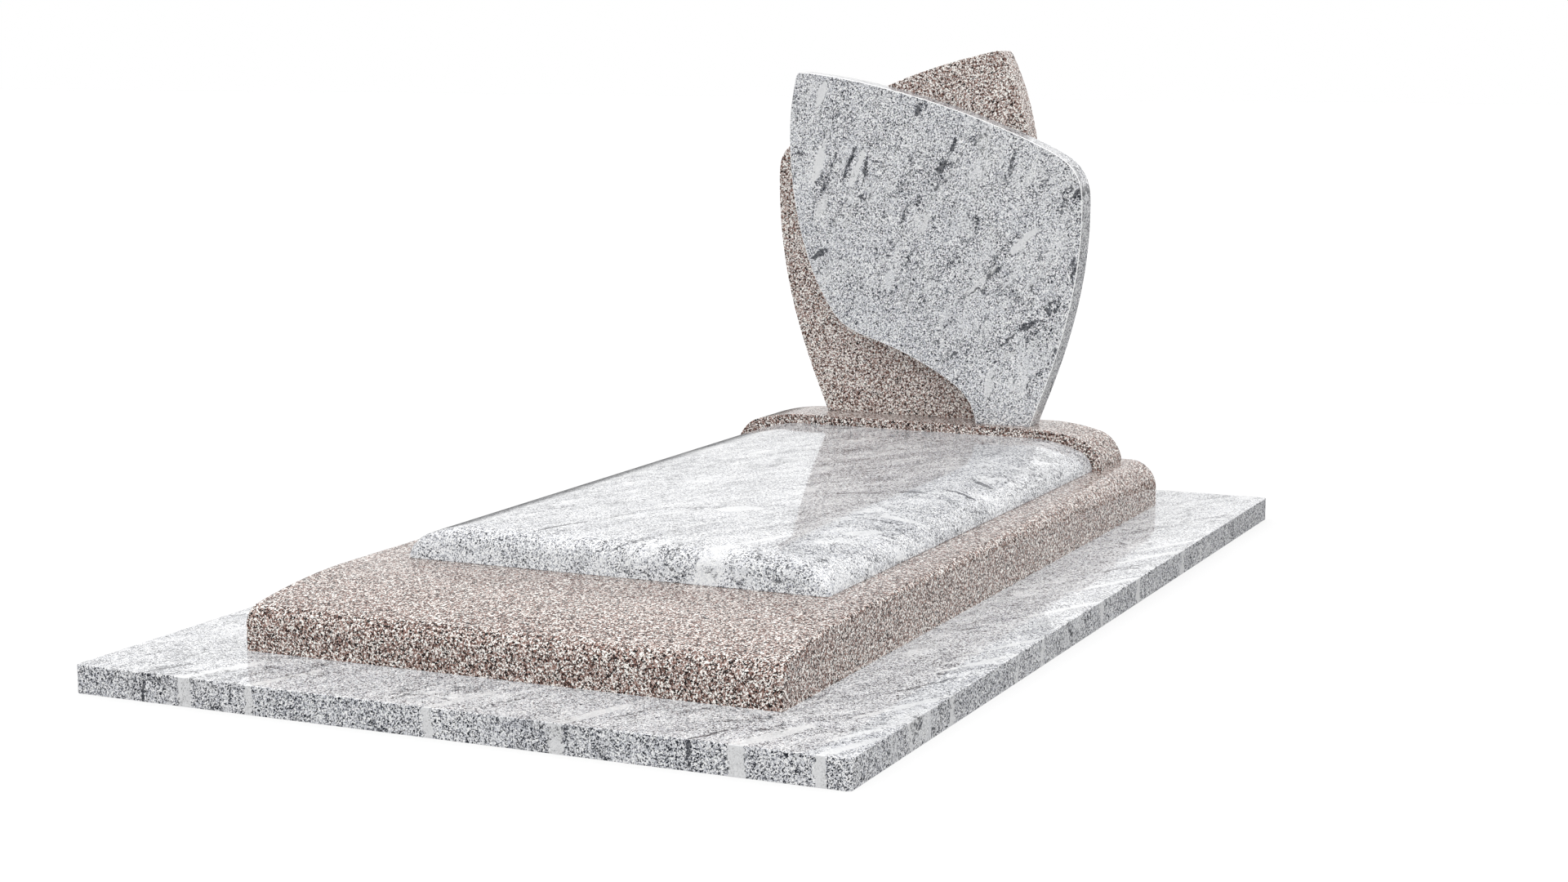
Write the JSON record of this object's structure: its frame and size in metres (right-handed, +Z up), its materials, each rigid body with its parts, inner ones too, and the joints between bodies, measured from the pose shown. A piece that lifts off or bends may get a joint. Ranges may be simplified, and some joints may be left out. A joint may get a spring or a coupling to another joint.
{
  "type": "grave monument",
  "caption": "Polished granite grave monument: a base slab, a surround, a crowned lid, and a headstone of overlapping leaves on a plinth.",
  "frame": {"origin": "centre of the base slab's underside", "axes": "+Z up, +Y from the foot end towards the headstone, +X to the right as seen from the foot end"},
  "size_m": [1.4, 2.4, 1.0501],
  "materials": {
    "grey_granite": "polished pale grey granite with fine black grains and wavy darker veins",
    "pink_granite": "polished pink granite with coarse black, brown and white grains"
  },
  "bodies": {
    "root": {"base_slab": "grey_granite", "surround": "pink_granite", "lid": "grey_granite", "headstone_plinth": "pink_granite", "headstone_rear_leaf": "pink_granite", "headstone_front_leaf": "grey_granite"}
  },
  "joints": []
}
